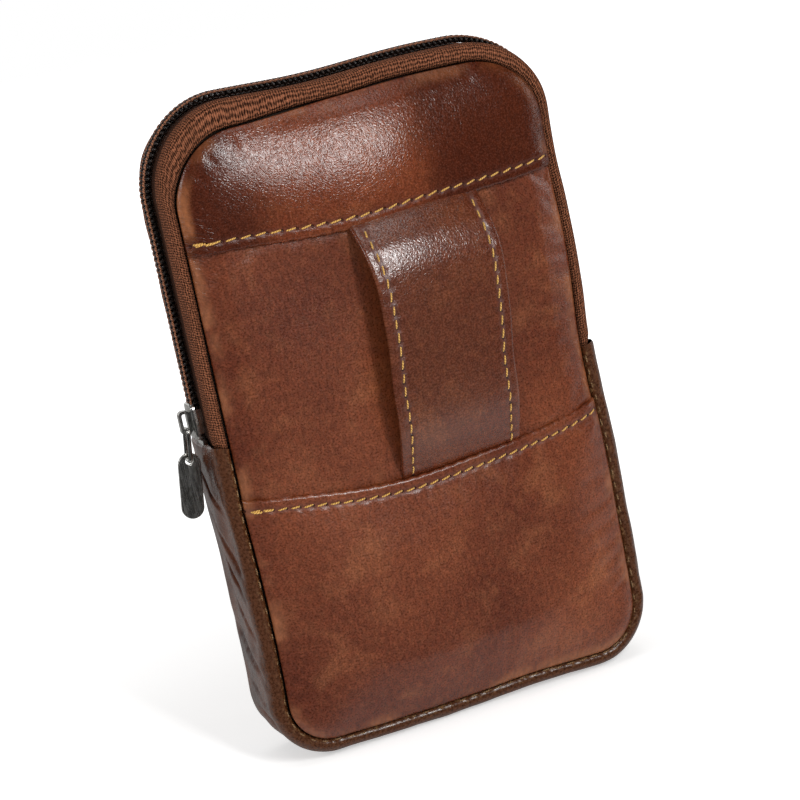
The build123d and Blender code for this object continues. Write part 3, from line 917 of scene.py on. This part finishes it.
def no_seam(x, z):
    return x, np.full_like(x, 99.0)


def lapped_edge(x, z):
    return edge_distance(x, z, GROOVE, GROOVE_TOP)


def middle_edge(x, z):
    return edge_distance(x, z, MIDDLE_GROOVE, GROOVE_TOP)


def seam_stitches(name, level, sag, offset, pitch, seed):
    """Stitches over the needle holes of a folded edge. They lie between the holes, from -X to +X."""
    xs = np.linspace(-49.4, 49.4, 500)
    points, normals = surface_line(lapped_height, xs, fold_line(xs, level, sag) + offset)
    points[:, 1] -= 0.36
    first = math.ceil((xs[0] + HALF) / pitch) * pitch - HALF - xs[0]
    stitch_row(name, points, normals, gold_thread, pitch, first, slant=12, seed=seed)
    tack = slice(-30, None)
    stitch_row(name + "_tack", points[tack], normals[tack], gold_thread, 2.7, 1.4, 0.95, 2, 0.34, jitter=0.32,
               lift=0.34, seed=seed + 20)


def back_panels():
    across = crowded(220, 0.5)
    x, z = face_patch(
        YOKE_FOLD + HEM_RADIUS, None, GROOVE, GROOVE_TOP, across, crowded(100, 0.35),
        bottom_fold=lambda x: fold_line(x, YOKE_FOLD, YOKE_SAG) + HEM_RADIUS,
    )
    yoke = padded_face("yoke_leather", x, z, lapped_height, lapped_edge, yoke_seam, yoke_leather,
                       (0.0, 5.0, 1.0), 6, wall=(False, True))
    x, z = face_patch(
        None, LOWER_FOLD - HEM_RADIUS, GROOVE, GROOVE_TOP, across, crowded(170, 0.35),
        top_fold=lambda x: fold_line(x, LOWER_FOLD, LOWER_SAG) - HEM_RADIUS,
    )
    lower = padded_face("lower_panel_leather", x, z, lapped_height, lapped_edge, lower_seam, panel_leather,
                        (0.003, 4.0, 1.8), 6, True, wall=(True, False))
    even = np.linspace(0, 1, 150)
    x, z = face_patch(LOWER_FOLD - 9, YOKE_FOLD + 4, MIDDLE_GROOVE, GROOVE_TOP, across, even)
    middle = padded_face("middle_panel_leather", x, z, middle_height, middle_edge, no_seam, panel_leather,
                         (0.004, 3.0, 1.0), wall=(False, False))
    tie(yoke, ["back_yoke"])
    tie(lower, ["back_lower_panel"])
    tie(middle, ["back_middle_panel", "back_padding"])
    seam_stitches("yoke_stitches", YOKE_FOLD, YOKE_SAG, STITCH_INSET, YOKE_PITCH, 11)
    seam_stitches("lower_stitches", LOWER_FOLD, LOWER_SAG, -STITCH_INSET, LOWER_PITCH, 12)


# ---------------------------------------------------------------- belt loop

# (y, z) of the strip's inner face, from under the lower panel to under the yoke
LOOP_PATH = [
    (11.7, 62.0), (11.8, 66.0), (12.3, 70.0), (13.6, 73.5), (16.6, 78.5), (19.3, 84.5), (21.0, 92.0),
    (21.9, 101.0), (22.2, 110.0), (22.1, 118.0), (21.3, 124.5), (19.3, 129.5), (16.3, 133.4), (13.8, 136.2),
    (12.3, 138.8), (11.8, 141.5), (11.6, 144.0),
]
BACKING = 0.95
STRAP = 1.35


def belt_loop():
    """Two layers: a backing strip, and over it the strap with folded edges and a stitch line along each."""
    path = spline(LOOP_PATH, 210)
    tangent = normalise(np.gradient(path, axis=0))
    out = np.stack([tangent[:, 1], -tangent[:, 0]], -1)  # (y, z), away from the pouch
    way = travelled(path)
    share = (path[:, 1] - path[0, 1]) / (path[-1, 1] - path[0, 1])
    width = LOOP_WIDTH_BOTTOM + (LOOP_WIDTH_TOP - LOOP_WIDTH_BOTTOM) * share - np.sin(math.pi * share)
    wave = 0.16 * np.sin(path[:, 1] / 7.0) + 0.10 * np.sin(path[:, 1] / 2.9)
    # Both layers are pared thin where they run under the panels
    thin = 0.55 + 0.45 * smooth(67, 75, path[:, 1]) * smooth(140, 134.5, path[:, 1])

    def placed(i, across, lift):
        y, z = (path[i, axis] + out[i, axis] * lift for axis in (0, 1))
        return np.stack([LOOP_X + across + wave[i], y, z], -1)

    def layer(name, node, start, thick, trim, material, seams):
        round_edge = thick / 2
        points, seam_uv, flat, rim_mm = [], [], [], []
        for i in range(len(path)):
            half = width[i] / 2 - trim
            a = np.linspace(-(half - round_edge), half - round_edge, 92)
            h = thick + 0.22 * (1 - (a / half) ** 2)
            if seams:
                off = np.abs(np.abs(a) - (half - STITCH_INSET))
                h = h - 0.15 * np.exp(-((off / 0.7) ** 2))
                h = h + 0.10 * np.cos(2 * math.pi * way[i] / LOOP_PITCH) * np.exp(-((off / 1.5) ** 2))
            turn = np.linspace(math.pi / 2, -math.pi / 2, 9)[1:-1]
            right_a = half - round_edge + round_edge * np.cos(turn)
            right_h = thick / 2 + thick / 2 * np.sin(turn)
            under_a = np.linspace(half - round_edge, -(half - round_edge), 24)
            ring_a = np.concatenate([a, right_a, under_a, -right_a[::-1]])
            ring_h = np.concatenate([h, right_h, np.zeros(24), right_h[::-1]])
            points.append(placed(i, ring_a, (start + ring_h) * thin[i]))
            stitch = np.full_like(ring_a, way[i] / LOOP_PITCH)
            seam_uv.append(np.stack([stitch, np.abs(ring_a) - (half - STITCH_INSET)], -1))
            flat.append(np.stack([ring_a + 0.6 * ring_h + 200, np.full_like(ring_a, way[i])], -1))
            rim_mm.append(2.5 + half - np.abs(ring_a))
        piece = grid_mesh(name, np.array(points), {"flat": np.array(flat), "seam": np.array(seam_uv)},
                          {"rim": np.array(rim_mm)}, material, wrap=True)
        tie(piece, [node])

    layer("loop_backing_leather", "belt_loop_backing", 0.0, BACKING, 0.35, backing_leather, False)
    layer("loop_strap_leather", "belt_loop_strap", BACKING + 0.05, STRAP, 0.0, loop_leather, True)
    keep = (path[:, 1] > fold_line(0, LOWER_FOLD, LOWER_SAG)) & (path[:, 1] < YOKE_FOLD - 0.5)
    first = LOOP_PITCH - way[keep][0] % LOOP_PITCH
    for side, name in ((-1, "loop_stitches_right"), (1, "loop_stitches_left")):
        a = side * (width / 2 - STITCH_INSET)
        lift = (BACKING + STRAP + 0.22 * (1 - (a / (width / 2)) ** 2) - 0.26) * thin
        points = placed(slice(None), a, lift)
        normals = np.stack([np.zeros(len(path)), out[:, 0], out[:, 1]], -1)
        stitch_row(name, points[keep], normals[keep], gold_thread, LOOP_PITCH, first, slant=-8,
                   seed=13 + side)


# ---------------------------------------------------------------- gusset


def gusset():
    """One dark strip round the lower half. Its edges turn over into the welts beside the panels."""
    half_profile = [
        (4.45, 8.6), (4.40, 10.0), (4.0, 11.3), (3.0, 12.15), (1.8, 12.0), (0.8, 11.1), (0.15, 9.4),
        (0.05, 7.4), (0.0, 5.0), (-0.15, 2.5), (-0.2, 0.0),
    ]
    back = spline(half_profile, 46)
    profile = np.concatenate([back, (back * [1, -1])[::-1][1:]])
    start = on_side(ZIP_END_Z)
    ways = np.linspace(-start, start, 620)
    grid = np.broadcast_to(profile, (len(ways),) + profile.shape).copy()
    w = ways[:, None]
    y = grid[..., 1]
    side_share = smooth(11.6, 7.5, np.abs(y))
    # Creases lie across the strip, a little slanted, and are deepest on its side
    slanted = w + 0.9 * y + 3.0 * ripple(21, 40, w, y)
    crease = np.zeros_like(y)
    local = np.random.default_rng(4)
    place = -start + 6
    while place < start - 4:
        depth = local.uniform(0.5, 1.25)
        size = local.uniform(1.0, 2.4)
        centre = local.uniform(-5, 5)
        reach = local.uniform(4.5, 9.0)
        near = np.exp(-(((slanted - place) / size) ** 2)) * np.exp(-(((y - centre) / reach) ** 2))
        crease += depth * near
        place += local.uniform(7.0, 15.0)
    swell = 0.35 * ripple(23, 28, w, y * 1.5)
    grid[..., 0] += side_share * (crease - swell) + 0.12 * ripple(29, 9, w, y) * side_share
    grid[..., 1] += 0.18 * ripple(31, 14, w, y) * smooth(9, 11.5, np.abs(y)) * np.sign(y)
    points = swept(ways, grid)
    # The strip's ends are turned under where the zip starts
    across = travelled(profile)
    flat = np.stack(np.broadcast_arrays(w, across[None, :]), -1)
    rim_mm = np.broadcast_to(np.minimum(across, across[-1] - across) - 1.2, y.shape)
    turn = smooth(7.5, 10.5, np.abs(y))
    for end in (0, -1):
        for rise, inward in ((0.35, 0.25), (0.5, 0.9)):
            line = points[[end]].copy()
            side = np.sign(line[..., 0].mean())
            line[..., 0] -= side * inward * np.clip(np.abs(1 - np.abs(line[..., 1]) / 14), 0, 1)
            line[..., 2] += rise
            points = grown(points, line, end == 0)
            flat, rim_mm, turn = (grown(rows, rows[[end]], end == 0) for rows in (flat, rim_mm, turn))
    floats = {"rim": rim_mm, "turn": turn}
    strip = grid_mesh("gusset_leather_strip", points, {"flat": flat}, floats, dark_leather)
    tie(strip, ["gusset", "back_welt", "front_welt"])
    # Top-stitching close to the groove, half buried in the leather
    for sign, name in ((1, "back_welt_stitches"), (-1, "front_welt_stitches")):
        ways = np.linspace(-start + 1, start - 1, 1500)
        x, z, nx, nz = rim(ways, 3.6)
        line = np.stack([x, np.full_like(x, sign * 11.6), z], -1)
        normals = np.stack([-0.25 * nx, np.full_like(x, sign), -0.25 * nz], -1)
        stitch_row(name, line, normals, gusset_thread, 3.6, 1.8, 0.62, 4, 0.2, 0.2, 0.10, 0.25, 15 + sign)


# ---------------------------------------------------------------- zip

CHAIN_PITCH = 1.5
FILAMENT = 0.35
TAPE_PROFILE = [
    (4.42, 8.6), (4.40, 10.0), (4.1, 11.0), (3.4, 11.8), (2.5, 11.8), (1.7, 11.1), (1.15, 9.8), (1.0, 8.3),
    (1.05, 6.9), (1.25, 5.8), (1.35, 4.6), (1.4, 3.4), (1.4, 2.0), (1.4, 0.6),
]


def tape(sign, name):
    """One side of the zip's tape, from the rolled edge in the groove to the middle of the chain."""
    profile = spline(TAPE_PROFILE, 60)
    start = on_side(ZIP_END_Z - 6)
    ways = np.linspace(start, AROUND - start, 760)
    grid = np.broadcast_to(profile, (len(ways),) + profile.shape).copy()
    w, y = ways[:, None], grid[..., 1]
    roll = smooth(6.0, 9.0, y)
    grid[..., 0] += roll * 0.16 * ripple(41 + sign, 14, w, y * 2)
    grid[..., 1] += roll * 0.20 * ripple(43 + sign, 17, w, y)
    # The tape dives under the gusset at both ends
    buried = smooth(10.0, 4.0, np.minimum(ways - start, ways[-1] - ways))[:, None]
    grid[..., 0] += buried * 0.8 * smooth(4.4, 2.0, grid[..., 0])
    grid[..., 1] = grid[..., 1] - buried * 1.2 * roll
    points = swept(ways, grid)
    points[..., 1] *= sign
    across = travelled(profile)
    flat = np.stack(np.broadcast_arrays(w, across[None, :] + 3.0 * sign), -1)
    rim_mm = np.broadcast_to(across[None, :] - 1.2, y.shape)
    flatness = np.broadcast_to(smooth(6.7, 5.6, profile[:, 1])[None], y.shape)
    floats = {"rim": rim_mm, "flatness": flatness}
    return grid_mesh(name, points, {"flat": flat}, floats, tape_knit, flip=sign < 0)


CHAIN_START = on_side(ZIP_END_Z + 2.4)
CHAIN_TURNS = int((AROUND - 2 * CHAIN_START) / CHAIN_PITCH)


def chain(sign, name):
    """One coil. Its turns have a high head, a saddle under the thread and a bend by the tape."""
    steps = 18
    t = np.arange(CHAIN_TURNS * steps + 1) / steps
    way = CHAIN_START + CHAIN_PITCH * (t + (0.5 if sign < 0 else 0.0))
    angle = 2 * math.pi * t
    y = 1.30 - 1.65 * np.cos(angle)
    over = np.sin(angle)
    top = -0.20 - 0.58 * smooth(1.2, 0.3, y) + 0.10 * smooth(2.2, 2.9, y)
    inset = np.where(over > 0, 0.35 + (top - 0.35) * np.abs(over) ** 0.45, 0.35 + 0.45 * np.abs(over) ** 0.5)
    x, z, _, _ = rim(way, inset)
    return tubes(name, [np.stack([x, sign * y, z], -1)], FILAMENT, coil_nylon, sides=8)


def chain_threads(sign, name):
    """The chain stitch that holds the coil to its tape: slanted loops that meet in the saddle."""
    share = np.linspace(-1, 1, 7)
    lines = []
    for i in range(CHAIN_TURNS):
        centre = CHAIN_START + CHAIN_PITCH * (i + 0.5)
        for row, slant in ((1.42, 0.25), (1.95, -0.25)):
            x, z, _, _ = rim(centre + share * CHAIN_PITCH * 0.55, -0.58 + 0.30 * np.abs(share) ** 3)
            lines.append(np.stack([x, sign * (row + slant * share), z], -1))
    return tubes(name, lines, lambda s: 0.15 + 0.11 * math.sin(math.pi * s), coil_thread, sides=6)


def zip_chain():
    for sign, side, bend, ends in ((1, "back", None, [""]), (-1, "front", TAPE_BEND, ["", "_ends"])):
        tie(tape(sign, f"{side}_tape_knit"), [f"{side}_zip_tape{end}" for end in ends], bend)
        tie(chain(sign, f"{side}_coil"), [f"{side}_zip_coil{end}" for end in ends], bend)
        tie(chain_threads(sign, f"{side}_coil_thread"), [], bend)


# ---------------------------------------------------------------- front and inside


def front():
    x, z = face_patch(None, None, GROOVE, GROOVE_TOP, crowded(180, 0.5), crowded(270, 0.35))
    piece = padded_face("front_leather_panel", x, z, front_height, lapped_edge, no_seam, front_leather,
                        (0.008, 4.0, 2.4))
    mesh = piece.data
    for vertex in mesh.vertices:
        vertex.co.y = -vertex.co.y
    mesh.update()
    nodes = [f"front_{part}_{layer}" for layer in ("panel", "padding") for part in ("upper", "lower")]
    tie(piece, nodes, FLAP_BEND)


POCKET_HALF = 42.0
LINING_Y = 8.8
LINING_SAG = 0.35
LINING_OVERLAP = 0.35  # the linings reach this far under the rolled tape


def sheet(name, y, seed):
    """A lining: one cloth face with a little slack."""
    inset, top_inset = GROOVE - LINING_OVERLAP, GROOVE_TOP - LINING_OVERLAP
    x, z = face_patch(None, None, inset, top_inset, crowded(110, 0.3), crowded(170, 0.3))
    d = edge_distance(x, z, inset, top_inset)
    depth = LINING_SAG * (0.5 + 0.5 * ripple(seed, 30, x, z)) * smooth(0, 14, d)
    points = np.stack([x, y - math.copysign(1.0, y) * depth, z], -1)
    return grid_mesh(name, points, {"flat": np.stack([x, z], -1)}, {"rim": d + 3}, lining_cloth, flip=y < 0)


def inside():
    tie(sheet("back_lining_cloth", LINING_Y, 51), ["back_lining"])
    lining = sheet("front_lining_cloth", -LINING_Y, 53)
    tie(lining, ["front_upper_lining", "front_lower_lining"], FLAP_BEND)
    # Gusset lining
    start = on_side(ZIP_END_Z - 7)
    ways = np.linspace(-start, start, 300)
    profile = spline([(1.7, -8.9), (1.75, -4.0), (1.8, 0.0), (1.75, 4.0), (1.7, 8.9)], 24)
    points = swept(ways, profile)
    flat = np.stack(np.broadcast_arrays(ways[:, None], profile[None, :, 1]), -1)
    band = grid_mesh("gusset_lining_cloth", points, {"flat": flat}, {"rim": np.full(points.shape[:2], 5.0)},
                     lining_cloth, flip=True)
    tie(band, ["gusset_lining"])
    # Slip pocket and its binding
    x, z = np.meshgrid(np.linspace(-POCKET_HALF, POCKET_HALF, 80), np.linspace(12, 96, 80))
    y = 8.2 - 0.5 * smooth(40, 94, z) * (1 - (x / POCKET_HALF) ** 2) + 0.1 * ripple(57, 25, x, z)
    pocket = grid_mesh("slip_pocket_cloth", np.stack([x, y, z], -1), {"flat": np.stack([x, z], -1)},
                       {"rim": np.full(x.shape, 5.0)}, lining_cloth)
    tie(pocket, ["inner_slip_pocket"])
    x = np.linspace(-POCKET_HALF, POCKET_HALF, 90)[:, None]
    turn = np.linspace(0, 2 * math.pi, 17)[None, :-1]
    y = 8.0 - 0.5 * (1 - (x / POCKET_HALF) ** 2) + 0.75 * np.cos(turn)
    ring = np.stack(np.broadcast_arrays(x, y, 93.8 + 2.4 * np.sin(turn)), -1)
    uv = np.stack(np.broadcast_arrays(x, 2.4 * turn), -1)
    floats = {"rim": np.full(y.shape, 5.0), "turn": np.zeros(y.shape)}
    binding = grid_mesh("pocket_binding_leather", ring, {"flat": uv}, floats, dark_leather, wrap=True)
    tie(binding, ["pocket_binding"])


def metal_parts():
    for node in ("zip_slider_body", "zip_slider_bridge", "zip_pull_link", "zip_pull_tab", "zip_stops"):
        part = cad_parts[node]
        for slot_ in part.material_slots:
            slot_.material = metal


back_panels()
belt_loop()
gusset()
zip_chain()
front()
inside()
metal_parts()


# ---------------------------------------------------------------- stage


WORLD_FILL = 0.47
FLOOR_GLOW = 0.34
FLOOR_Z = -0.0006


def studio_light(p, direction):
    """What a surface mirrors: white behind the object and low down, dark round the camera."""
    spaces = {"vector_type": "VECTOR", "convert_from": "WORLD", "convert_to": "CAMERA"}
    turned = p.node("VectorTransform", {0: direction}, **spaces)
    place = p.add(p.parts(turned)[2], p.times(p.parts(direction)[2], -0.9))
    return p.span(place, 0.05, 0.68, 0.006, 1.0)


def stage():
    floor_mesh = bpy.data.meshes.new("floor")
    reach = 3.0
    square = [(-reach, -reach), (reach, -reach), (reach, reach), (-reach, reach)]
    floor_mesh.from_pydata([(x, y, FLOOR_Z) for x, y in square], [], [(0, 1, 2, 3)])
    floor = new_object("floor", floor_mesh)
    p = Paint("floor")
    place = p.node("TexCoord", {}, "Object")
    grain = p.noise(place, 40.0, 2.0)
    pale = p.mix(p.times(grain, 0.05), (0.93, 0.925, 0.915), (0.88, 0.875, 0.86))
    path = p.tree.nodes.new("ShaderNodeLightPath")
    incoming = p.node("NewGeometry", {}, "Incoming")
    mirrored = studio_light(p, p.scaled(incoming, (-1, -1, -1)))
    in_gloss = p.mix(p.times(mirrored, 0.75), (0.01, 0.01, 0.01), pale)
    seen = p.mix(path.outputs["Is Glossy Ray"], pale, in_gloss)
    # Away from the object the floor meets the white of the backdrop
    length = p.node("VectorMath", {0: place}, 1, operation="LENGTH")
    away = p.times(p.span(length, 0.07, 0.34), path.outputs["Is Camera Ray"])
    p.set(Base_Color=p.mix(away, seen, (0, 0, 0)), Roughness=0.7, Specular_IOR_Level=0.0)
    glow = p.times(p.add(1.0, p.times(path.outputs["Is Glossy Ray"], -1.0)), FLOOR_GLOW)
    glow = p.add(glow, p.times(path.outputs["Is Camera Ray"], 0.14))
    p.set(Emission_Color=(1, 1, 1), Emission_Strength=p.add(away, glow))
    floor_mesh.materials.append(p.material)

    world = bpy.data.worlds.new("studio")
    bpy.context.scene.world = world
    world.use_nodes = True
    world.cycles.sampling_method = "NONE"
    w = Paint.__new__(Paint)
    w.tree = world.node_tree
    background = w.tree.nodes["Background"]
    incoming = w.node("NewGeometry", {}, "Incoming")
    path = w.tree.nodes.new("ShaderNodeLightPath")
    mirrored = studio_light(w, w.scaled(incoming, (-1, -1, -1)))
    sideways, _, rise = w.parts(incoming)
    fill = w.span(rise, -0.9, 0.3, WORLD_FILL * 0.5, WORLD_FILL)
    fill = w.times(fill, w.add(1.0, w.times(sideways, -0.35)))
    strength = w.span(path.outputs["Is Glossy Ray"], 0, 1, fill, mirrored, "LINEAR")
    strength = w.span(path.outputs["Is Camera Ray"], 0, 1, strength, 1.0, "LINEAR")
    background.inputs["Color"].default_value = (1, 1, 1, 1)
    w.plug(background.inputs["Strength"], strength)

    def lamp(name, place, target, size, radiance):
        data = bpy.data.lights.new(name, "AREA")
        data.shape = "RECTANGLE"
        data.size, data.size_y = size
        data.energy = radiance * math.pi * size[0] * size[1]
        light = new_object(name, data)
        light.location = place
        direction = Vector(target) - Vector(place)
        light.rotation_euler = direction.to_track_quat("-Z", "Y").to_euler()

    aim = Vector((0.01, 0.015, 0.150))

    def box(name, azimuth, rise, reach, size, radiance):
        a, r = math.radians(azimuth), math.radians(rise)
        toward = Vector((math.sin(a) * math.cos(r), math.cos(a) * math.cos(r), math.sin(r)))
        lamp(name, aim + reach * toward, aim, size, radiance)

    box("key_box", -10, 28, 0.8, (0.10, 0.34), 32.0)
    box("top_box", -30, 70, 0.8, (0.20, 0.20), 3.5)
    box("side_box", 76, 22, 0.8, (0.08, 0.35), 13.0)
    box("far_box", -78, 4, 0.8, (0.07, 0.60), 4.0)
    lamp("floor_box", (0.0, -0.25, 1.0), (0, 0, 0.0), (0.9, 0.5), 1.0)


def camera():
    """The photograph's view: the back, from a little to the +X side and above, with the camera rolled."""
    azimuth, elevation, roll = math.radians(18.6), math.radians(13.2), math.radians(11.6)
    distance = 0.606
    target = Vector((0, 0.010, 0.0865))
    level = math.cos(elevation)
    back = Vector((math.sin(azimuth) * level, math.cos(azimuth) * level, math.sin(elevation)))
    right = Vector((-math.cos(azimuth), math.sin(azimuth), 0))
    up = back.cross(right)
    rolled_right = math.cos(roll) * right - math.sin(roll) * up
    rolled_up = math.sin(roll) * right + math.cos(roll) * up
    place = target + back * distance
    data = bpy.data.cameras.new("photo")
    data.lens = 104.3
    data.sensor_width = 36
    data.shift_x = -0.0138
    data.shift_y = 0.0019
    data.clip_start = 0.01
    view = new_object("photo", data)
    view.matrix_world = Matrix(
        (
            (rolled_right.x, rolled_up.x, back.x, place.x),
            (rolled_right.y, rolled_up.y, back.y, place.y),
            (rolled_right.z, rolled_up.z, back.z, place.z),
            (0, 0, 0, 1),
        )
    )
    bpy.context.scene.camera = view
    bpy.context.scene.view_settings.view_transform = "Standard"


stage()
camera()
